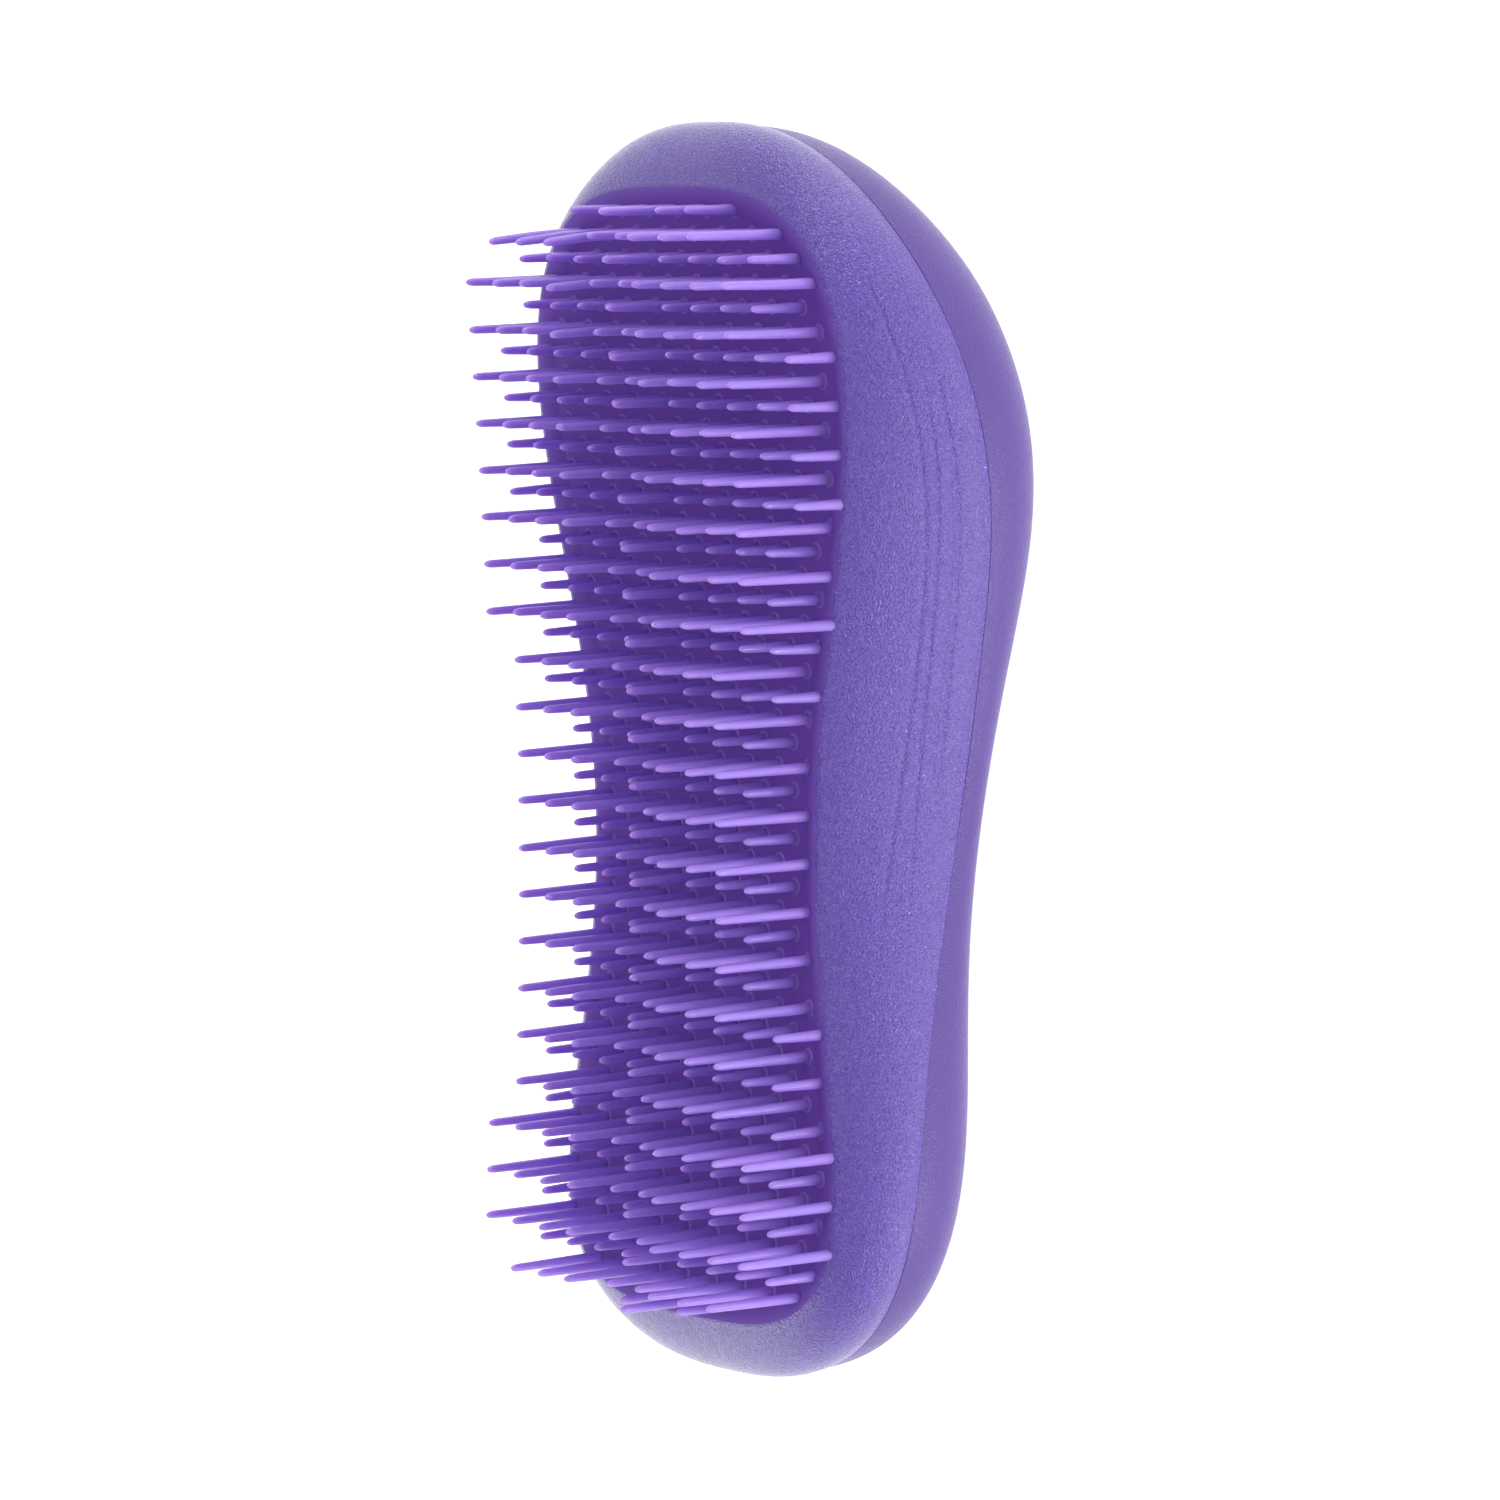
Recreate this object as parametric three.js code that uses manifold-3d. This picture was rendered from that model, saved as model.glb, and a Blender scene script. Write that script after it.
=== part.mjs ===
import * as THREE from "three";
import Module from "manifold-3d";
import { mergeGeometries, mergeVertices } from "three/addons/utils/BufferGeometryUtils.js";

// A palm-held detangling brush for a horse's mane and tail, lying on its back with its teeth up.
// Millimetres. It is modelled level first: +X runs along the body to the fat head end, +Y across it,
// +Z the way the teeth point, with the origin on the tooth plate at the middle tooth row. The last
// group then tips it onto its hump and tail, as it lies on a table.

// Teeth: rows run across the body, and every second row is shifted by half a space.
const rowPitch = 2.5;
const toothPitch = 5.1;
const rowCount = 47;
const toothLength = { short: 6.5, medium: 10, long: 12 };
const toothRootRadius = 0.6;
const toothTipRadius = 0.38;
const toothSides = 5;
const toothRootSunk = 0.6;

// Body outline, seen from the teeth: a waist with a swelling at the head and one at the tail.
const waist = 16.7;
const headSwell = { width: 11.4, x: 42, spread: 36.3 };
const tailSwell = { width: 9.95, x: -61.6, spread: 40 };
const crest = { halfLength: 60.1, x: 0.4, wider: 0, square: 7.6, round: 3.3 };
const seam = { halfLength: 65.8, x: 0.45, wider: 4.75, square: 4.9, round: 2.6 };

// Heights along the body.
const halfSpan = 57.5;
const plateSag = { rise: 3.05, flatten: 0.65 };
const recessDepth = 0.6;
const seamArch = { ends: -2.35, lean: 1.35, depth: 13.5, x: 12.5, spread: 44, power: 2.35 };
const hump = { base: -14.9, lean: 3.8, depth: 15.25, x: 46.8, tailSpread: 61, headSpread: 30.5 };

// Sections of the body.
const flankStart = THREE.MathUtils.degToRad(28);
const flankEnd = THREE.MathUtils.degToRad(104);
const backPoleX = -14.4;
const backSquareness = 2.7;
const backEnd = THREE.MathUtils.degToRad(86);
const backSpacing = 1.15;
const wall = 2.2;
const fit = 0.3;

// The plate's raised edge, its seat in the front shell, and the tongue that centres the back cover.
const plateEdge = { land: 0.35, run: 0.9 };
const plateThickness = 1.8;
const ledgeWidth = 3;
const ledgeThickness = 1.6;
const tongue = { height: 1.2, thickness: 1.4 };

// How it lies on a table.
const restTilt = THREE.MathUtils.degToRad(6.6);
const restFlatDepth = 0.2;

// Mesh fineness.
const around = 56;
const outlineSamples = 1440;

const wasm = await Module();
wasm.setup();

function swelling({ width, x, spread }, at) {
  return width * Math.exp(-(((at - x) / spread) ** 2));
}

// The plate is hollow lengthwise and straight across.
function plateHeight(x) {
  const k = (x / halfSpan) ** 2;
  return plateSag.rise * k - plateSag.flatten * k * k;
}

function seamHeight(x) {
  const reach = Math.abs((x - seamArch.x) / seamArch.spread) ** seamArch.power;
  return seamArch.ends + (seamArch.lean * x) / halfSpan - seamArch.depth * Math.exp(-reach);
}

function backHeight(x) {
  const spread = x > hump.x ? hump.headSpread : hump.tailSpread;
  const drop = hump.depth * Math.exp(-(((x - hump.x) / spread) ** 2));
  return hump.base + (hump.lean * x) / halfSpan - drop;
}

// Half the body's width at x, on an outline moved inward by inset.
function halfWidth(outline, inset, x) {
  const k = Math.min(Math.abs((x - outline.x) / (outline.halfLength - inset)), 1);
  const end = (1 - k ** outline.square) ** (1 / outline.round);
  const flat = waist + outline.wider - inset;
  return end * (flat + swelling(headSwell, x) + swelling(tailSwell, x));
}

// An outline as evenly spaced points, anticlockwise from the head end.
function outlineRing(outline, inset) {
  const fine = [];
  for (let i = 0; i <= outlineSamples; i++) {
    const turn = (2 * Math.PI * i) / outlineSamples;
    const x = outline.x + (outline.halfLength - inset) * Math.cos(turn);
    fine.push(new THREE.Vector2(x, Math.sign(Math.sin(turn)) * halfWidth(outline, inset, x)));
  }
  fine[0].y = 0;
  fine[outlineSamples / 2].y = 0;
  fine[outlineSamples].copy(fine[0]);
  const run = [0];
  for (let i = 1; i < fine.length; i++) run.push(run[i - 1] + fine[i].distanceTo(fine[i - 1]));
  const ring = [];
  let at = 0;
  for (let j = 0; j < around; j++) {
    const goal = (run[outlineSamples] * j) / around;
    while (run[at + 1] < goal) at++;
    const part = (goal - run[at]) / (run[at + 1] - run[at]);
    ring.push(fine[at].clone().lerp(fine[at + 1], part));
  }
  return ring;
}

// Lifts a flat ring to the height that a function of x gives.
function raise(ring, height) {
  return ring.map((p) => new THREE.Vector3(p.x, p.y, height(p.x)));
}

// A closed surface through rings of points, wound anticlockwise and listed down the outside.
// Its ends are closed by strips across, or left out where the last ring joins the first.
function loft(rings, { endless = false } = {}) {
  const faces = [];
  const last = rings.length - 1;
  for (let i = 0; i < (endless ? rings.length : last); i++) {
    const upper = i * around;
    const lower = ((i + 1) % rings.length) * around;
    for (let j = 0; j < around; j++) {
      const next = (j + 1) % around;
      faces.push(upper + j, lower + j, lower + next);
      faces.push(upper + j, lower + next, upper + next);
    }
  }
  if (!endless) {
    for (let j = 0; j < around / 2; j++) {
      const [right, right2] = [j, j + 1];
      const [left, left2] = [(around - j) % around, around - j - 1];
      const strip = [];
      if (j > 0) strip.push(right, right2, left);
      if (right2 !== left2) strip.push(right2, left2, left);
      for (let k = 0; k < strip.length; k += 3) {
        const [a, b, c] = strip.slice(k, k + 3);
        faces.push(a, b, c);
        faces.push(last * around + a, last * around + c, last * around + b);
      }
    }
  }
  const geometry = new THREE.BufferGeometry().setFromPoints(rings.flat());
  geometry.setIndex(faces);
  return geometry;
}

function toSolid(geometry) {
  const bare = geometry.clone();
  bare.deleteAttribute("normal");
  bare.deleteAttribute("uv");
  const merged = mergeVertices(bare, 1e-4);
  return new wasm.Manifold(
    new wasm.Mesh({
      numProp: 3,
      vertProperties: new Float32Array(merged.attributes.position.array),
      triVerts: new Uint32Array(merged.index.array),
    }),
  );
}

function toGeometry(solid) {
  const { vertProperties, triVerts } = solid.getMesh();
  const geometry = new THREE.BufferGeometry();
  geometry.setAttribute("position", new THREE.BufferAttribute(vertProperties, 3));
  geometry.setIndex(new THREE.BufferAttribute(triVerts, 1));
  return geometry;
}

function plastic(color, roughness) {
  return new THREE.MeshStandardMaterial({ color, roughness, metalness: 0, flatShading: true });
}

function named(name, geometry, material) {
  const mesh = new THREE.Mesh(geometry, material);
  mesh.name = name;
  return mesh;
}

// The flank between the crest and the seam, moved inward by inset, at one step from 0 to 1.
function flankRing(inset, step) {
  const turn = flankStart + (flankEnd - flankStart) * step;
  const out =
    (Math.sin(turn) - Math.sin(flankStart)) / (Math.sin(flankEnd) - Math.sin(flankStart));
  const down =
    (Math.cos(flankStart) - Math.cos(turn)) / (Math.cos(flankStart) - Math.cos(flankEnd));
  const top = raise(outlineRing(crest, inset - fit), (x) => plateHeight(x) + recessDepth - inset);
  const bottom = raise(outlineRing(seam, inset), seamHeight);
  return top.map((p, j) => {
    const q = bottom[j];
    return new THREE.Vector3(
      p.x + (q.x - p.x) * out,
      p.y + (q.y - p.y) * out,
      p.z + (q.z - p.z) * down,
    );
  });
}

// Rim band: the textured flank, the opening that holds the tooth plate, and the ledge under it.
function frontShell() {
  const ledgeTop = -plateThickness - fit;
  const ledgeUnder = ledgeTop - ledgeThickness;
  const rings = [];
  for (let i = 0; i <= 7; i++) rings.push(flankRing(0, i / 7));
  for (let i = 4; i >= 2; i--) rings.push(flankRing(wall, i / 4));
  const shelf = (inset, height) =>
    raise(outlineRing(crest, inset), (x) => plateHeight(x) + height);
  rings.push(shelf(wall, ledgeUnder));
  rings.push(shelf(ledgeWidth, ledgeUnder));
  rings.push(shelf(ledgeWidth, ledgeTop));
  rings.push(shelf(-fit, ledgeTop));
  return loft(rings, { endless: true });
}

// The dome below the seam, moved inward by inset, as rings from the seam to its spine.
function backRings(inset, steps) {
  const edge = outlineRing(seam, inset);
  const rings = [];
  for (let i = 1; i <= steps; i++) {
    const turn = backEnd * (i / steps) ** backSpacing;
    const reach = Math.cos(turn) ** (2 / backSquareness);
    const depth = Math.sin(turn) ** (2 / backSquareness);
    rings.push(
      edge.map((p) => {
        const x = backPoleX + (p.x - backPoleX) * reach;
        const top = seamHeight(x) - fit;
        return new THREE.Vector3(x, p.y * reach, top + (backHeight(x) + inset - top) * depth);
      }),
    );
  }
  return rings;
}

// Palm cover: a dome closed against the front shell at the seam, with a tongue that fits inside it.
function backCover() {
  const tongueOuter = wall + fit;
  const tongueInner = tongueOuter + tongue.thickness;
  const lip = (inset, height) => raise(outlineRing(seam, inset), (x) => seamHeight(x) + height);
  return loft([
    ...backRings(wall, 7).reverse(),
    lip(tongueInner, -fit),
    lip(tongueInner, tongue.height),
    lip(tongueOuter, tongue.height),
    lip(tongueOuter, -fit),
    lip(0, -fit),
    ...backRings(0, 10),
  ]);
}

// How many teeth a row has on each side of its middle: long ones in odd rows, short in even rows.
function teethPerSide(row) {
  if (row % 2) {
    if (row === 1 || row === 45) return 3;
    return row >= 19 && row <= 37 ? 3 : 4;
  }
  if (row === 0) return 2;
  if (row === 46) return 1;
  if (row >= 6 && row <= 12) return 5;
  return row >= 22 && row <= 32 ? 3 : 4;
}

// Every tooth as its row, its place across in tooth spaces, and its kind.
function toothPlaces() {
  const places = [];
  for (let row = 0; row < rowCount; row++) {
    const middle = row % 2 ? 0.5 : 0;
    const outer = row % 2 ? "long" : "short";
    for (const side of row % 2 ? [-1, 1] : [1]) places.push([row, side * middle, "medium"]);
    for (let i = 1; i <= teethPerSide(row); i++) {
      places.push([row, middle + i, outer]);
      places.push([row, -middle - i, outer]);
    }
  }
  return places;
}

function tooth(row, column, kind) {
  const height = toothLength[kind] + toothRootSunk;
  const x = ((rowCount - 1) / 2 - row) * rowPitch;
  const y = column * toothPitch;
  const geometry = new THREE.CylinderGeometry(
    toothTipRadius,
    toothRootRadius,
    height,
    toothSides,
  );
  geometry.rotateX(Math.PI / 2);
  geometry.translate(x, y, plateHeight(x) - toothRootSunk + height / 2);
  return geometry;
}

// Tooth plate: a thin concave tray whose low edge stands up to the crest of the rim, with every
// tooth moulded on it in one piece.
function toothPlate() {
  const sheet = (inset, height) =>
    raise(outlineRing(crest, inset), (x) => plateHeight(x) + height);
  const plate = loft([
    sheet(plateEdge.run, 0),
    sheet(plateEdge.land, recessDepth),
    sheet(0, recessDepth),
    sheet(0, -plateThickness),
  ]);
  const teeth = mergeGeometries(toothPlaces().map((place) => tooth(...place)));
  return toGeometry(toSolid(plate).add(toSolid(teeth)));
}

// Trims the cover by a hair where it touches the table, so that it rests on real flat patches.
function withRestFlats(cover) {
  const tipped = cover.clone().rotateY(-restTilt);
  tipped.computeBoundingBox();
  const size = 200;
  const table = new THREE.BoxGeometry(size, size, size);
  table.translate(0, 0, tipped.boundingBox.min.z + restFlatDepth - size / 2);
  table.rotateY(restTilt);
  return toGeometry(toSolid(cover).subtract(toSolid(table)));
}

const body = new THREE.Group();
body.add(named("front_shell", frontShell(), plastic(0x7058b4, 0.55)));
body.add(named("back_cover", withRestFlats(backCover()), plastic(0x7a63bd, 0.5)));
body.add(named("tooth_plate", toothPlate(), plastic(0x5a3f9e, 0.35)));
body.rotation.y = -restTilt;

// The origin is under the middle of the brush, on the table.
const brush = new THREE.Group();
brush.add(body);
const box = new THREE.Box3().setFromObject(brush, true);
const centre = box.getCenter(new THREE.Vector3());
body.position.set(-centre.x, -centre.y, -box.min.z);

export default brush;
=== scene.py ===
"""The looks of a palm-held mane and tail detangling brush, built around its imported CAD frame."""

import math
import random

import bpy
import numpy as np
from mathutils import Matrix, Vector


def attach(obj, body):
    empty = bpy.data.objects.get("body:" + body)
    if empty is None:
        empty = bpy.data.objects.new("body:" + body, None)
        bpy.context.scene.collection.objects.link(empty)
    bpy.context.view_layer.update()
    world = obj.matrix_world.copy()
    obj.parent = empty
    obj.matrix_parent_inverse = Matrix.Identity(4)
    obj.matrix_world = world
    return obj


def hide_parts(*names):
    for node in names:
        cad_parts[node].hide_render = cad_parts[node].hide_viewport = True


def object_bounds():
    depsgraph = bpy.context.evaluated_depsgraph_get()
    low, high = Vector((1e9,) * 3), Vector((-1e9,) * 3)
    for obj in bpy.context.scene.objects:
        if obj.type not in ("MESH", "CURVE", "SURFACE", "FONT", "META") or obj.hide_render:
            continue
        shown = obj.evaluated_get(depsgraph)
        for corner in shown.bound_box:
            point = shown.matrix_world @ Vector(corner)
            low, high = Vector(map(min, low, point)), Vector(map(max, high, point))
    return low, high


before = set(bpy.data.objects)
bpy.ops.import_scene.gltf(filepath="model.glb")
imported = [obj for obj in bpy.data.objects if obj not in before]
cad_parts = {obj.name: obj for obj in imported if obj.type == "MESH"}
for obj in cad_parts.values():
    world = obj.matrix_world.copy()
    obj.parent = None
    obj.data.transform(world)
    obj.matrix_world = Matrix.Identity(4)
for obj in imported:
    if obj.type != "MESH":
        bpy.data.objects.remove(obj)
cad_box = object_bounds()

# Shapes are worked out in millimetres in the brush's own level frame: +X to the head end, +Y across,
# +Z the way the teeth point, origin on the tooth plate at the middle row. TO_ROW then tips them onto
# the hump and tail, as the CAD model lies, and turns them into metres.
MM = 0.001
REST_TILT = math.radians(6.6)
REST_SHIFT = (-0.7357, 0.0, 23.2057)
FIT_INSIDE = 0.997  # the fine surfaces stay inside the facets of the CAD model

# Teeth. They stand in rows across the brush, counted from the head.
ROW_PITCH = 2.5
TOOTH_PITCH = 5.1
ROWS = 47
TOOTH_LENGTH = {"short": 6.5, "medium": 10.0, "long": 12.0}
TOOTH_ROOT_R = 0.61
TOOTH_TIP_R = 0.44
TIP_POINT = 1.0  # how far the round tip reaches past the cone
TIP_BLUNTNESS = 0.9  # 1 is an ellipse, less is blunter
TOOTH_STUB = 0.6  # how deep a tooth is rooted in the plate
TOOTH_LEAN = 0.05  # how far tips stray from their places, as a standard deviation
# Teeth that are bent towards the tail, by row and place across, with how far their tips have moved.
BENT_TEETH = {
    (1, 1.5): 0.75,
    (1, 2.5): 0.7,
    (1, 3.5): 0.7,
    (3, 1.5): 0.5,
    (5, 1.5): 0.3,
}
# The fillet round a tooth's root. It sinks into the tooth and under the plate, so that no gap shows.
ROOT_FILLET = 0.28
FILLET_LIFT = 0.004
FILLET_SINK = 0.02
FILLET_LAP = 0.1
FILLET_DEPTH = 0.2

# Body outline: a waist with a swelling at the head and one at the tail. Each swelling is its width, its
# place along the body and its spread.
WAIST = 16.7
HEAD_SWELL = (11.4, 42.0, 36.3)
TAIL_SWELL = (9.95, -61.6, 40.0)
CREST = {"half": 60.1, "x": 0.4, "wider": 0.0, "square": 7.6, "round": 3.3}
SEAM = {"half": 65.8, "x": 0.45, "wider": 4.75, "square": 4.9, "round": 2.6}

# Heights along the body. The plate rises towards both ends and is crowned across. The seam dips in the
# middle. The back has a hump that falls off faster towards the head than towards the tail.
HALF_SPAN = 57.5
PLATE_RISE = 3.05
PLATE_EASE = 0.65
CROWN = 0.25
CROWN_AT = 25.0
SEAM_LINE = {"level": -2.35, "climb": 1.35, "dip": 13.5, "x": 12.5, "reach": 44.0, "square": 2.35}
BACK_LINE = {"level": -14.9, "climb": 3.8, "hump": 15.25, "x": 46.8, "headward": 30.5, "tailward": 61.0}

# Sections of the body.
FLANK_START = math.radians(28)
FLANK_END = math.radians(104)
BACK_POLE_X = -14.4
BACK_SQUARE = 2.7
BACK_END = math.radians(88)
BACK_CROWDING = 1.15  # over 1 crowds the rings towards the seam
WALL = 2.2
CREST_ROUND = 0.6
# The ledge inside the rim that the tooth plate rests on, from the crest's outline and height.
LEDGE = {"reach": 3.0, "top": -2.7, "bottom": -4.3}

# The recess: how far its plate lies under the crest, how far in from the crest's outline the slope up
# to it starts, and how thick the plate is.
RECESS = 0.6
SLOPE_FOOT = 3.3
PLATE_THICKNESS = 1.8

# The seam between the two shells: the rim's edge is rounded and the cover sits just inside it, with a
# tongue that stands up inside the rim.
SEAM_ROUNDING = ((-0.03, -0.03), (-0.3, -0.03))
SEAM_GAP = {"middle": 0.03, "ends": 0.14, "from": 47.0, "fade": 2.5}
COVER_STEP = 0.05  # how far the cover's edge stands back from the rim's
COVER_LAND = 0.35  # how far in the flat on top of that edge reaches
COVER_ROUND = 0.04  # how much its corner is cut
COVER_DROP = 0.05  # how far under that flat the dome starts
TONGUE = {"inner": 3.9, "outer": 2.5, "top": 1.2, "inner_foot": -0.3, "outer_foot": -0.25}

# Faint lines run along each flank. Each is its place down the flank at the middle of its run, from 0
# at the crest to 1 at the seam, how that place changes along the body, its half width in the same
# measure, its height in millimetres, and where along the body it runs: from, to.
FLANK_LINES = (
    {"at": 0.55, "slope": 0.0, "bow": -0.07, "half": 0.02, "height": -0.13, "run": (-13, 48)},
    {"at": 0.630, "slope": -0.03, "bow": 0.0, "half": 0.016, "height": -0.12, "run": (-13, 40)},
    {"at": 0.742, "slope": -0.035, "bow": 0.0, "half": 0.007, "height": 0.05, "run": (0, 42)},
    {"at": 0.775, "slope": -0.035, "bow": -0.02, "half": 0.015, "height": -0.12, "run": (0, 44)},
)
LINE_MIDDLE = 12.0
LINE_REACH = 25.0
LINE_FADE = 7.0
# Beyond this place down the flank the surface steps in a little, out of the highlight.
FLANK_STEP = {"at": 0.9, "bow": 0.04, "half": 0.012, "depth": 0.07, "run": (-8, 42)}

# Fineness.
OUTLINE_SAMPLES = 20001
AROUND = 640
FLANK_STEPS = 220
INNER_FLANK_STEPS = 12
LEDGE_STEP = 4  # the inner flank starts under the ledge, at this one of its steps
CREST_STEPS = 5
BACK_STEPS = 84
INNER_BACK_STEPS = 20
PLATE_STEPS = 13
SLOPE_STEPS = 12
TOOTH_SIDES = 16
TIP_STEPS = 8
FILLET_STEPS = 6
SHARP_EDGE = math.radians(35)


# ---------------------------------------------------------------- lines of the body


def swelling(spec, x):
    width, at, spread = spec
    return width * np.exp(-(((x - at) / spread) ** 2))


def plate_height(x, y=0.0):
    k = (x / HALF_SPAN) ** 2
    return PLATE_RISE * k - PLATE_EASE * k * k - CROWN * (y / CROWN_AT) ** 2


def seam_height(x):
    reach = np.abs((x - SEAM_LINE["x"]) / SEAM_LINE["reach"]) ** SEAM_LINE["square"]
    straight = SEAM_LINE["level"] + SEAM_LINE["climb"] * x / HALF_SPAN
    return straight - SEAM_LINE["dip"] * np.exp(-reach)


def back_height(x):
    spread = np.where(x > BACK_LINE["x"], BACK_LINE["headward"], BACK_LINE["tailward"])
    straight = BACK_LINE["level"] + BACK_LINE["climb"] * x / HALF_SPAN
    return straight - BACK_LINE["hump"] * np.exp(-(((x - BACK_LINE["x"]) / spread) ** 2))


def half_width(spec, inset, x):
    k = np.clip(np.abs((x - spec["x"]) / (spec["half"] - inset)), 0, 1)
    end = (1 - k ** spec["square"]) ** (1 / spec["round"])
    flat = WAIST + spec["wider"] - inset
    return end * (flat + swelling(HEAD_SWELL, x) + swelling(TAIL_SWELL, x))


def outline(spec, inset=0.0):
    """An outline as evenly spaced points, anticlockwise from the head end."""
    turn = np.linspace(0, 2 * math.pi, OUTLINE_SAMPLES)
    x = spec["x"] + (spec["half"] - inset) * np.cos(turn)
    side = np.sign(np.round(np.sin(turn), 9))  # 0 at both ends, which lie on the middle line
    y = side * half_width(spec, inset, x)
    run = np.concatenate([[0], np.cumsum(np.hypot(np.diff(x), np.diff(y)))])
    goal = np.linspace(0, run[-1], AROUND, endpoint=False)
    return np.stack([np.interp(goal, run, x), np.interp(goal, run, y)], 1)


def offset(ring, outward):
    """A flat ring moved outward along its own normals."""
    along = np.roll(ring, -1, 0) - np.roll(ring, 1, 0)
    along /= np.linalg.norm(along, axis=1)[:, None]
    return ring + outward * np.stack([along[:, 1], -along[:, 0]], 1)


def lifted(ring, heights):
    return np.column_stack([ring, np.broadcast_to(heights, len(ring))])


def crest_ring(outward, up):
    """A ring beside the crest: how far out from its outline, and how far above the plate's surface."""
    crest = outline(CREST)
    return lifted(offset(crest, outward), plate_height(crest[:, 0], crest[:, 1]) + up)


def ease(t):
    """From 0 to 1 with a soft start and end."""
    return t * t * (3 - 2 * t)


# ---------------------------------------------------------------- pieces

TILT = Matrix.Rotation(-REST_TILT, 4, "Y")
TO_ROW = Matrix.Translation(Vector(REST_SHIFT) * MM) @ TILT @ Matrix.Scale(MM, 4)

# Every piece is in this collection too, for the light that shines on the pieces alone.
pieces = bpy.data.collections.new("pieces")


def make_piece(name, points, faces, material, node, painted_light=None):
    """A smooth-shaded mesh in the row frame that stands for a CAD node."""
    mesh = bpy.data.meshes.new(name)
    mesh.from_pydata([tuple(p) for p in points], [], faces)
    mesh.transform(TO_ROW @ Matrix.Scale(FIT_INSIDE, 4))
    for vertex in mesh.vertices:
        vertex.co.z = max(vertex.co.z, cad_box[0].z)  # the two flats that it rests on
    # Painted light per point, by which the material lifts the colour.
    if painted_light is not None:
        layer = mesh.attributes.new("painted_light", "FLOAT", "POINT")
        layer.data.foreach_set("value", np.asarray(painted_light, np.float32))
    mesh.materials.append(material)
    mesh.shade_smooth()
    mesh.set_sharp_from_angle(angle=SHARP_EDGE)
    piece = bpy.data.objects.new(name, mesh)
    bpy.context.scene.collection.objects.link(piece)
    pieces.objects.link(piece)
    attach(piece, "root")
    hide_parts(node)
    return piece


def loft(rings, endless):
    """Points and faces of a surface through rings listed down its outside.

    An endless one closes on its first ring. The ends of any other get a cap made of strips.
    """
    count = len(rings[0])
    points = np.concatenate(rings)
    faces = []
    last = len(rings) - 1
    for i in range(last + (1 if endless else 0)):
        a = i * count
        b = ((i + 1) % len(rings)) * count
        for j in range(count):
            k = (j + 1) % count
            faces.append((a + j, b + j, b + k, a + k))
    if not endless:
        for base, flip in ((0, False), (last * count, True)):
            for j in range(count // 2):
                face = [base + (count - j) % count, base + j, base + j + 1, base + count - j - 1]
                face = list(dict.fromkeys(face))
                faces.append(tuple(reversed(face)) if flip else tuple(face))
    return points, faces


# ---------------------------------------------------------------- materials

# Colours of the plastic, as sRGB. Each drifts between two that lie close together. The rim band's lie
# further apart: painted shade in the pits of its grain and painted sparkle on its peaks.
RIM_SHADE_AND_SPARKLE_COLOURS = ((64, 33, 137), (101, 72, 182))
COVER_COLOURS = ((84, 58, 141), (88, 62, 145))
TRAY_COLOURS = ((94, 56, 150), (99, 61, 155))
# The colour that painted light lifts the recess towards.
TRAY_PAINTED_LIGHT_COLOUR = (138, 108, 200)
TOOTH_COLOURS = ((145, 117, 205), (150, 122, 209))

# How wide the grain's blobs are and how far it stands out, in metres.
RIM_GRAIN = {"size": 0.00021, "height": 0.00019}
COVER_GRAIN = {"size": 0.00024, "height": 0.0001}

# Most of a noise texture's values lie between these.
NOISE_LOW = 0.3
NOISE_HIGH = 0.7


def srgb(r, g, b):
    def linear(v):
        v /= 255
        return v / 12.92 if v <= 0.04045 else ((v + 0.055) / 1.055) ** 2.4

    return (linear(r), linear(g), linear(b), 1.0)


class Nodes:
    """A short way to write a material's node tree."""

    def __init__(self, name):
        self.material = bpy.data.materials.new(name)
        self.material.use_nodes = True
        self.tree = self.material.node_tree
        self.shader = self.tree.nodes["Principled BSDF"]
        self.place = self.add("ShaderNodeTexCoord").outputs["Object"]

    def add(self, kind, **settings):
        node = self.tree.nodes.new(kind)
        for key, value in settings.items():
            setattr(node, key, value)
        return node

    def link(self, output, socket):
        self.tree.links.new(output, socket)

    def noise(self, size, detail):
        """Noise whose blobs are about size metres across."""
        node = self.add("ShaderNodeTexNoise")
        node.inputs["Scale"].default_value = 1 / size
        node.inputs["Detail"].default_value = detail
        self.link(self.place, node.inputs["Vector"])
        return node.outputs["Fac"]

    def ramp(self, value, colours):
        """A drift between two sRGB colours that follows a noise."""
        node = self.add("ShaderNodeValToRGB")
        self.link(value, node.inputs["Fac"])
        for stop, position, colour in zip(node.color_ramp.elements, (NOISE_LOW, NOISE_HIGH), colours):
            stop.position = position
            stop.color = srgb(*colour)
        return node.outputs["Color"]

    def bump(self, height, distance):
        node = self.add("ShaderNodeBump")
        node.inputs["Distance"].default_value = distance
        self.link(height, node.inputs["Height"])
        return node.outputs["Normal"]

    def base_colour(self, colour):
        self.link(colour, self.shader.inputs["Base Color"])

    def roughness(self, size, low, high):
        """Roughness that drifts between two values over patches about size metres across."""
        node = self.add("ShaderNodeMapRange", clamp=True)
        self.link(self.noise(size, 3), node.inputs["Value"])
        node.inputs["From Min"].default_value = NOISE_LOW
        node.inputs["From Max"].default_value = NOISE_HIGH
        node.inputs["To Min"].default_value = low
        node.inputs["To Max"].default_value = high
        self.link(node.outputs["Result"], self.shader.inputs["Roughness"])

    def set(self, **values):
        for key, value in values.items():
            self.shader.inputs[key.replace("_", " ")].default_value = value


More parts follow.
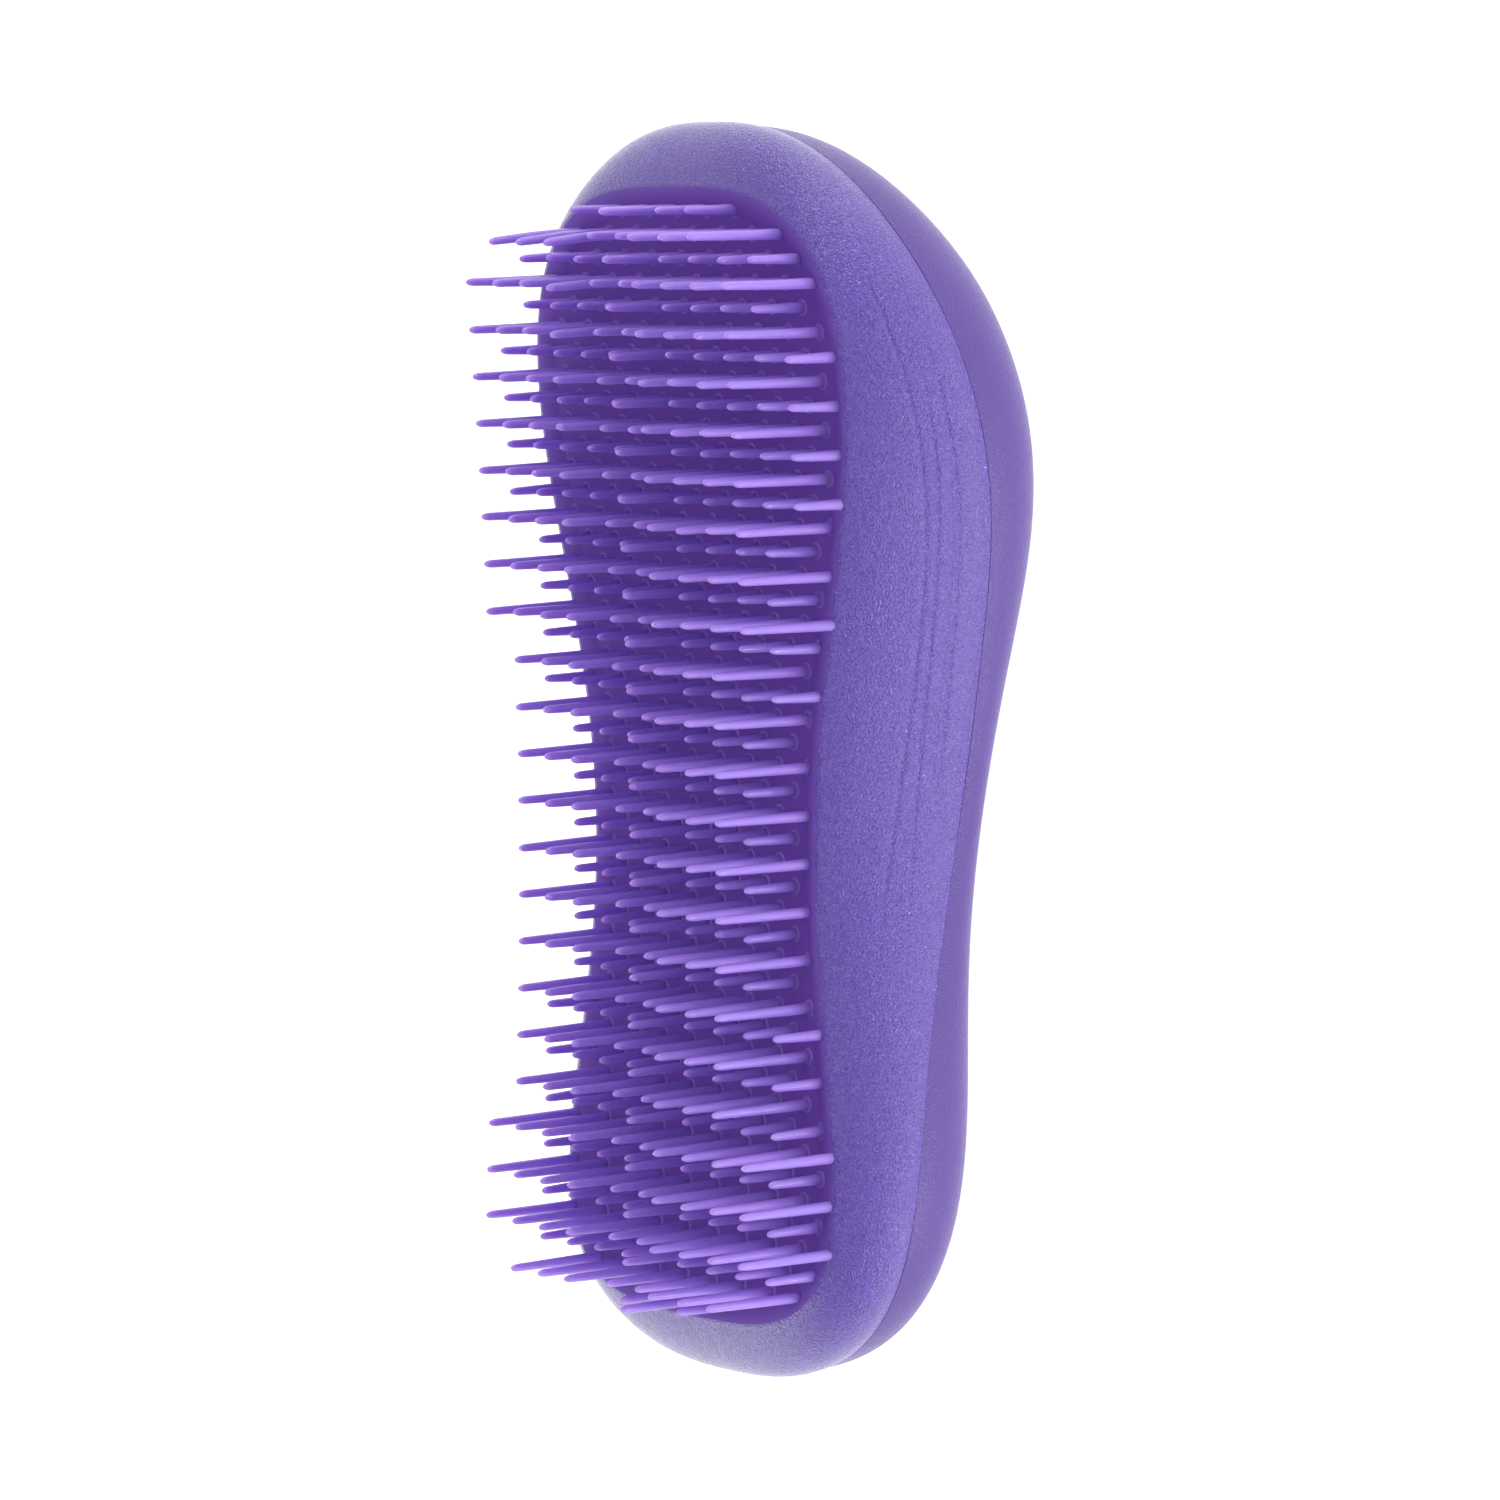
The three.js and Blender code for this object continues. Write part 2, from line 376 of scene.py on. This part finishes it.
def shell_plastic():
    """The rim band: fine spark-eroded grain that sparkles in the highlights, with painted shade and
    sparkle.
    """
    n = Nodes("shell_plastic")
    height = n.noise(RIM_GRAIN["size"], 1)
    # Its colour follows the grain's height: painted shade in the pits, painted sparkle on the peaks.
    n.base_colour(n.ramp(height, RIM_SHADE_AND_SPARKLE_COLOURS))
    n.roughness(0.0012, 0.24, 0.3)
    grain = n.bump(height, RIM_GRAIN["height"])
    n.link(grain, n.shader.inputs["Normal"])
    n.link(grain, n.shader.inputs["Coat Normal"])
    n.set(IOR=1.5, Coat_Weight=0.7, Coat_Roughness=0.08, Coat_IOR=1.5)
    return n.material


def cover_plastic():
    """The palm cover: satin, with a softer grain than the rim band's."""
    n = Nodes("cover_plastic")
    n.base_colour(n.ramp(n.noise(0.02, 3), COVER_COLOURS))
    n.roughness(0.0012, 0.28, 0.36)
    grain = n.bump(n.noise(COVER_GRAIN["size"], 1), COVER_GRAIN["height"])
    n.link(grain, n.shader.inputs["Normal"])
    n.set(IOR=1.5)
    return n.material


def tray_plastic():
    """The smooth recess that the teeth stand in, with painted light up its edge and round the tooth
    roots.
    """
    n = Nodes("tray_plastic")
    deep = n.ramp(n.noise(0.012, 2), TRAY_COLOURS)
    # Painted light: up the slope and on the fillets the colour is lifted towards a lighter one.
    painted_light = n.add("ShaderNodeAttribute", attribute_name="painted_light").outputs["Fac"]
    mix = n.add("ShaderNodeMix", data_type="RGBA")
    n.link(painted_light, mix.inputs["Factor"])
    n.link(deep, mix.inputs["A"])
    mix.inputs["B"].default_value = srgb(*TRAY_PAINTED_LIGHT_COLOUR)
    n.base_colour(mix.outputs["Result"])
    n.roughness(0.003, 0.45, 0.55)
    n.set(IOR=1.42, Specular_IOR_Level=0.2)
    return n.material


def tooth_plastic():
    """Teeth: the same plastic where it is thin, so glossy and lit through."""
    n = Nodes("tooth_plastic")
    n.base_colour(n.ramp(n.noise(0.01, 2), TOOTH_COLOURS))
    n.roughness(0.002, 0.12, 0.2)
    n.set(IOR=1.52)
    n.set(Subsurface_Weight=0.85, Subsurface_Radius=(1.0, 0.8, 1.1), Subsurface_Scale=0.0022)
    return n.material


# ---------------------------------------------------------------- shells


def run_window(x, run):
    """1 inside a run along the body, fading to 0 at both ends."""
    start, end = run
    return 1 / (1 + np.exp(-(x - start) / LINE_FADE * 3)) / (1 + np.exp((x - end) / LINE_FADE * 3))


def flank_relief(x, s):
    """How far the flank stands out of its plain section, in millimetres."""
    along = (x - LINE_MIDDLE) / LINE_REACH
    relief = np.zeros_like(x)
    for line in FLANK_LINES:
        at = line["at"] + line["slope"] * along + line["bow"] * along**2
        shape = np.exp(-(((s - at) / line["half"]) ** 2))
        relief += line["height"] * shape * run_window(x, line["run"])
    at = FLANK_STEP["at"] + FLANK_STEP["bow"] * along**2
    inside = 1 / (1 + np.exp(-(s - at) / FLANK_STEP["half"] * 2))
    return relief - FLANK_STEP["depth"] * inside * run_window(x, FLANK_STEP["run"])


def flank_rings(steps, inset, relief):
    """Rings down the flank from the crest to the seam, as an arc that is stretched to reach both."""
    top = outline(CREST, inset)
    drop = CREST_ROUND * math.tan(FLANK_START / 2)
    top = lifted(top, plate_height(top[:, 0], top[:, 1]) + RECESS - drop - inset)
    bottom = outline(SEAM, inset)
    bottom = lifted(bottom, seam_height(bottom[:, 0]))
    span = math.sin(FLANK_END) - math.sin(FLANK_START)
    fall = math.cos(FLANK_START) - math.cos(FLANK_END)
    rings = []
    for s in np.linspace(0, 1, steps + 1):
        turn = FLANK_START + (FLANK_END - FLANK_START) * s
        out = (math.sin(turn) - math.sin(FLANK_START)) / span
        down = (math.cos(FLANK_START) - math.cos(turn)) / fall
        ring = top + (bottom - top) * np.array([out, out, down])
        if relief:
            rise = flank_relief(ring[:, 0], s)
            level = offset(ring[:, :2], 1.0) - ring[:, :2]
            ring[:, :2] += level * (rise * math.sin(turn))[:, None]
            ring[:, 2] += rise * math.cos(turn)
        rings.append(ring)
    return rings


def front_shell(material):
    """The rim band: down its flank, round the seam edge, up inside, over the ledge to the crest."""
    rings = flank_rings(FLANK_STEPS, 0.0, True)
    seam_edge = rings[-1]
    for outward, up in SEAM_ROUNDING:
        rings.append(lifted(offset(seam_edge[:, :2], outward), seam_edge[:, 2] + up))
    rings += reversed(flank_rings(INNER_FLANK_STEPS, WALL, False)[LEDGE_STEP:])

    def lip(outward, up):
        return crest_ring(outward, RECESS + up)

    rings.append(lip(-WALL, LEDGE["bottom"]))
    rings.append(lip(-LEDGE["reach"], LEDGE["bottom"]))
    rings.append(lip(-LEDGE["reach"], LEDGE["top"]))
    rings.append(lip(-CREST_ROUND, LEDGE["top"]))
    rings.append(lip(-CREST_ROUND, 0.0))
    radius = CREST_ROUND / math.sin(FLANK_START)
    for turn in np.linspace(0, FLANK_START, CREST_STEPS + 1)[1:-1]:
        rings.append(lip(-CREST_ROUND + radius * math.sin(turn), radius * (math.cos(turn) - 1)))
    points, faces = loft(rings, True)
    return make_piece("front_shell_rim", points, faces, material, "front_shell")


def seam_gap(x):
    """The gap at the seam, which opens a little round the head and the tail."""
    ends = 1 / (1 + np.exp(-(np.abs(x) - SEAM_GAP["from"]) / SEAM_GAP["fade"]))
    return SEAM_GAP["middle"] + (SEAM_GAP["ends"] - SEAM_GAP["middle"]) * ends


def back_rings(edge, steps, inset=0.0):
    """Rings of the dome from just inside its edge to the pole."""
    rings = []
    for i in range(1, steps + 1):
        turn = BACK_END * (i / steps) ** BACK_CROWDING
        reach = math.cos(turn) ** (2 / BACK_SQUARE)
        depth = math.sin(turn) ** (2 / BACK_SQUARE)
        x = BACK_POLE_X + (edge[:, 0] - BACK_POLE_X) * reach
        top = seam_height(x) - seam_gap(x) - COVER_DROP
        z = top + (back_height(x) + inset - top) * depth
        rings.append(np.column_stack([x, edge[:, 1] * reach, z]))
    return rings


def back_cover(material):
    """The palm cover: from the pole inside, over the tongue and the edge, to the pole outside."""

    def lip(inset, up):
        ring = outline(SEAM, inset)
        return lifted(ring, seam_height(ring[:, 0]) + up)

    rings = back_rings(outline(SEAM, WALL), INNER_BACK_STEPS, WALL)[::-1]
    rings.append(lip(TONGUE["inner"], TONGUE["inner_foot"]))
    rings.append(lip(TONGUE["inner"], TONGUE["top"]))
    rings.append(lip(TONGUE["outer"], TONGUE["top"]))
    rings.append(lip(TONGUE["outer"], TONGUE["outer_foot"]))
    edge = ((COVER_LAND, 0.0), (COVER_STEP + COVER_ROUND, 0.0), (COVER_STEP, -COVER_ROUND))
    for inset, up in edge:
        ring = lip(inset, up)
        ring[:, 2] -= seam_gap(ring[:, 0])
        rings.append(ring)
    rings += back_rings(outline(SEAM, COVER_STEP), BACK_STEPS)
    points, faces = loft(rings, False)
    return make_piece("back_cover_shell", points, faces, material, "back_cover")


# ---------------------------------------------------------------- tray and teeth

# Painted light: how much lighter the recess is at the top of its slope, where it lifts the shade the
# slope lies in, and on its tooth fillets all over, where it stands for the light they catch.
SLOPE_PAINTED_LIGHT = 0.3
FILLET_PAINTED_LIGHT = 0.45


def teeth_per_side(row):
    """How many teeth a row has on each side of the ones at the middle."""
    if row % 2:
        if row in (1, 45):
            return 3
        return 3 if 19 <= row <= 37 else 4
    if row == 0:
        return 2
    if row == 46:
        return 1
    if 6 <= row <= 12:
        return 5
    return 3 if 22 <= row <= 32 else 4


def tooth_places():
    """Every tooth as its row, its place across in tooth pitches, and its kind."""
    places = []
    for row in range(ROWS):
        middle = 0.5 if row % 2 else 0.0
        outer = "long" if row % 2 else "short"
        for side in (-1, 1) if row % 2 else (1,):
            places.append((row, side * middle, "medium"))
        for i in range(1, teeth_per_side(row) + 1):
            for side in (-1, 1):
                places.append((row, side * (middle + i), outer))
    return places


def tooth_spot(row, across):
    return ((ROWS - 1) / 2 - row) * ROW_PITCH, across * TOOTH_PITCH


def circle_rings(x, y, profile):
    """Rings round a place on the plate, following its hollow."""
    turns = np.linspace(0, 2 * math.pi, TOOTH_SIDES, endpoint=False)
    circle = np.stack([np.cos(turns), np.sin(turns)], 1)
    rings = []
    for radius, up in profile:
        ring = circle * radius + (x, y)
        rings.append(lifted(ring, plate_height(ring[:, 0], ring[:, 1]) + up))
    return rings


def fillet_profile():
    """Radius and height round one tooth's root, as a closed section."""
    foot = TOOTH_ROOT_R + ROOT_FILLET
    profile = [(foot + FILLET_LAP, -FILLET_SINK), (foot, FILLET_LIFT)]
    for turn in np.linspace(0, math.pi / 2, FILLET_STEPS + 1)[1:]:
        radius = TOOTH_ROOT_R - FILLET_SINK + ROOT_FILLET * (1 - math.sin(turn))
        profile.append((radius, FILLET_LIFT + ROOT_FILLET * (1 - math.cos(turn))))
    profile.append((TOOTH_ROOT_R - FILLET_LAP, ROOT_FILLET))
    profile.append((TOOTH_ROOT_R - FILLET_LAP, -FILLET_DEPTH))
    profile.append((foot + FILLET_LAP, -FILLET_DEPTH))
    return profile


def root_fillets(start):
    """Points and faces of the small fillets that every tooth rises from, counted from start."""
    points = []
    faces = []
    profile = fillet_profile()
    count = len(profile)
    for row, across, _ in tooth_places():
        base = start + len(points)
        for ring in circle_rings(*tooth_spot(row, across), profile):
            points += ring.tolist()
        for i in range(count):
            a = base + i * TOOTH_SIDES
            b = base + (i + 1) % count * TOOTH_SIDES
            for j in range(TOOTH_SIDES):
                k = (j + 1) % TOOTH_SIDES
                faces.append((a + j, a + k, b + k, b + j))
    return points, faces


def tray(material):
    """The smooth recess: its hollow plate, the slope up to the crest, the underside, and the fillets."""
    rings = []
    inner = offset(outline(CREST), -SLOPE_FOOT)
    for part in np.linspace(0, 1, PLATE_STEPS + 1)[1:]:
        ring = inner * part
        rings.append(lifted(ring, plate_height(ring[:, 0], ring[:, 1])))
    painted_light = [0.0] * (PLATE_STEPS * AROUND)
    for t in np.linspace(0, 1, SLOPE_STEPS + 1)[1:]:
        rings.append(crest_ring(-SLOPE_FOOT + (SLOPE_FOOT - CREST_ROUND) * t, RECESS * ease(t)))
        # Painted light that grows up the slope.
        painted_light += [SLOPE_PAINTED_LIGHT * ease(t)] * AROUND
    rings.append(crest_ring(-CREST_ROUND, -PLATE_THICKNESS))
    bottom = offset(outline(CREST), -CREST_ROUND)
    for part in np.linspace(0, 1, PLATE_STEPS + 1)[1:-1][::-1]:
        ring = bottom * part
        rings.append(lifted(ring, plate_height(ring[:, 0], ring[:, 1]) - PLATE_THICKNESS))
    points, faces = loft(rings, False)
    painted_light += [0.0] * (len(points) - len(painted_light))
    fillet_points, fillet_faces = root_fillets(len(points))
    points = list(points) + fillet_points
    faces += fillet_faces
    # Painted light on the fillets, for the light they catch.
    painted_light += [FILLET_PAINTED_LIGHT] * len(fillet_points)
    return make_piece(
        "tooth_plate_tray", points, faces, material, "tooth_plate", painted_light
    )


def tooth_profile(length):
    """Radius and height up one tooth, from inside the plate to its bullet-shaped tip."""
    shoulder = length - TIP_POINT
    profile = [(TOOTH_ROOT_R, -TOOTH_STUB), (TOOTH_ROOT_R, 0.0)]
    for t in (0.3, 0.6):
        profile.append((TOOTH_ROOT_R + (TOOTH_TIP_R - TOOTH_ROOT_R) * t, shoulder * t))
    for turn in np.linspace(0, math.pi / 2, TIP_STEPS + 1)[:-1]:
        reach = math.cos(turn) ** TIP_BLUNTNESS
        profile.append((TOOTH_TIP_R * reach, shoulder + TIP_POINT * math.sin(turn)))
    return profile


def teeth(kind, material):
    """All teeth of one length."""
    points = []
    faces = []
    length = TOOTH_LENGTH[kind]
    profile = tooth_profile(length)
    heights = [up for _, up in profile]
    chance = random.Random(kind)
    for row, across, its_kind in tooth_places():
        if its_kind != kind:
            continue
        x, y = tooth_spot(row, across)
        lean = np.array([chance.gauss(0, TOOTH_LEAN), chance.gauss(0, TOOTH_LEAN)])
        lean[0] -= BENT_TEETH.get((row, across), 0.0)
        start = len(points)
        for ring, up in zip(circle_rings(x, y, profile), heights):
            ring[:, :2] += lean * (max(up, 0) / length) ** 2
            points += ring.tolist()
        for i in range(len(profile) - 1):
            a = start + i * TOOTH_SIDES
            b = a + TOOTH_SIDES
            for j in range(TOOTH_SIDES):
                k = (j + 1) % TOOTH_SIDES
                faces.append((a + j, a + k, b + k, b + j))
        faces.append(tuple(start + j for j in reversed(range(TOOTH_SIDES))))
        top = start + (len(profile) - 1) * TOOTH_SIDES
        tip = len(points)
        points.append((x + lean[0], y + lean[1], plate_height(x, y) + length))
        for j in range(TOOTH_SIDES):
            faces.append((top + j, top + (j + 1) % TOOTH_SIDES, tip))
    return make_piece(f"{kind}_teeth", points, faces, material, "tooth_plate")


# ---------------------------------------------------------------- stage

# The camera's aim and distance are in millimetres in the level frame, its lens in millimetres.
CAMERA_AIM = (0.63, -2.67, -3.74)
CAMERA_DISTANCE = 747.5
CAMERA_AZIMUTH = math.radians(6.315)
CAMERA_ELEVATION = math.radians(35.98)
CAMERA_ROLL = math.radians(-94.76)
CAMERA_LENS = 170.97
CAMERA_SENSOR = 36.0
CAMERA_NEAR = 0.05
CAMERA_FAR = 20

FLOOR_SIZE = 6.0
FLOOR_WHITE = 0.5
FLOOR_ROUGHNESS = 0.9
FLOOR_GLOW = 0.98
FLOOR_DROP = 0.0002  # keeps it clear of the flats that the brush rests on
WORLD_STRENGTH = 0.7
# Soft boxes: where each stands as seen from the brush, in the level frame, its distance and its size
# along the brush and across it in metres, and its power in watts.
LIGHTS = (
    {"name": "right", "way": (-0.38, -0.90, -0.24), "distance": 0.6, "size": (0.17, 0.32), "power": 1.4},
    {"name": "head", "way": (0.96, -0.08, 0.14), "distance": 0.6, "size": (0.16, 0.12), "power": 0.9},
    {"name": "back", "way": (-0.6, 0.78, 0.17), "distance": 0.9, "size": (0.7, 0.4), "power": 1.7},
    {"name": "above", "way": (0.05, -0.1, 1.0), "distance": 0.8, "size": (0.1, 0.1), "power": 0.6},
)


def make_camera():
    back = Vector(
        (
            math.sin(CAMERA_AZIMUTH) * math.cos(CAMERA_ELEVATION),
            -math.cos(CAMERA_AZIMUTH) * math.cos(CAMERA_ELEVATION),
            math.sin(CAMERA_ELEVATION),
        )
    )
    data = bpy.data.cameras.new("camera")
    data.lens = CAMERA_LENS
    data.sensor_width = CAMERA_SENSOR
    data.clip_start = CAMERA_NEAR
    data.clip_end = CAMERA_FAR
    camera = bpy.data.objects.new("camera", data)
    bpy.context.scene.collection.objects.link(camera)
    upright = back.to_track_quat("Z", "Y").to_matrix().to_4x4()
    roll = Matrix.Rotation(CAMERA_ROLL, 4, "Z")
    place = TO_ROW @ (Vector(CAMERA_AIM) + back * CAMERA_DISTANCE)
    camera.matrix_world = Matrix.Translation(place) @ TILT @ upright @ roll
    bpy.context.scene.camera = camera


def soft_box(name, way, distance, size, power):
    """A light that faces the brush."""
    data = bpy.data.lights.new(name, "AREA")
    data.shape = "RECTANGLE"
    data.size, data.size_y = size
    data.energy = power
    light = bpy.data.objects.new(name, data)
    bpy.context.scene.collection.objects.link(light)
    back = (TILT @ Vector(way)).normalized()
    across = back.cross(TILT @ Vector((1, 0, 0))).normalized()
    along = across.cross(back)
    turn = Matrix((along, across, back)).transposed().to_4x4()
    light.matrix_world = Matrix.Translation(back * distance) @ turn
    if way[2] < 0:
        # It stands lower than the floor, so it shines on the pieces alone and only they block it. It
        # is sampled directly only, because a ray that a piece throws its way would meet the floor.
        light.light_linking.receiver_collection = pieces
        light.light_linking.blocker_collection = pieces
        data.cycles.use_multiple_importance_sampling = False


def make_floor():
    """A pale floor, seen from above only."""
    material = bpy.data.materials.new("pale_floor")
    material.use_nodes = True
    tree = material.node_tree
    shader = tree.nodes["Principled BSDF"]
    shader.inputs["Base Color"].default_value = (FLOOR_WHITE, FLOOR_WHITE, FLOOR_WHITE, 1)
    shader.inputs["Roughness"].default_value = FLOOR_ROUGHNESS
    shader.inputs["Emission Color"].default_value = (1, 1, 1, 1)
    shader.inputs["Emission Strength"].default_value = FLOOR_GLOW
    clear = tree.nodes.new("ShaderNodeBsdfTransparent")
    side = tree.nodes.new("ShaderNodeNewGeometry")
    mix = tree.nodes.new("ShaderNodeMixShader")
    tree.links.new(side.outputs["Backfacing"], mix.inputs["Fac"])
    tree.links.new(shader.outputs["BSDF"], mix.inputs[1])
    tree.links.new(clear.outputs["BSDF"], mix.inputs[2])
    tree.links.new(mix.outputs["Shader"], tree.nodes["Material Output"].inputs["Surface"])
    mesh = bpy.data.meshes.new("floor")
    half = FLOOR_SIZE / 2
    corners = [(-half, -half, 0), (half, -half, 0), (half, half, 0), (-half, half, 0)]
    mesh.from_pydata(corners, [], [(0, 1, 2, 3)])
    mesh.materials.append(material)
    floor = bpy.data.objects.new("floor", mesh)
    floor.location.z = cad_box[0].z - FLOOR_DROP
    bpy.context.scene.collection.objects.link(floor)


def make_world():
    """Even white light from all round, and colours shown as they are."""
    world = bpy.data.worlds.new("studio")
    world.use_nodes = True
    background = world.node_tree.nodes["Background"]
    background.inputs["Color"].default_value = (1, 1, 1, 1)
    background.inputs["Strength"].default_value = WORLD_STRENGTH
    bpy.context.scene.world = world
    bpy.context.scene.view_settings.view_transform = "Standard"


make_camera()
make_world()
make_floor()
for light in LIGHTS:
    soft_box(**light)
front_shell(shell_plastic())
back_cover(cover_plastic())
tray(tray_plastic())
tooth_material = tooth_plastic()
for kind in TOOTH_LENGTH:
    teeth(kind, tooth_material)
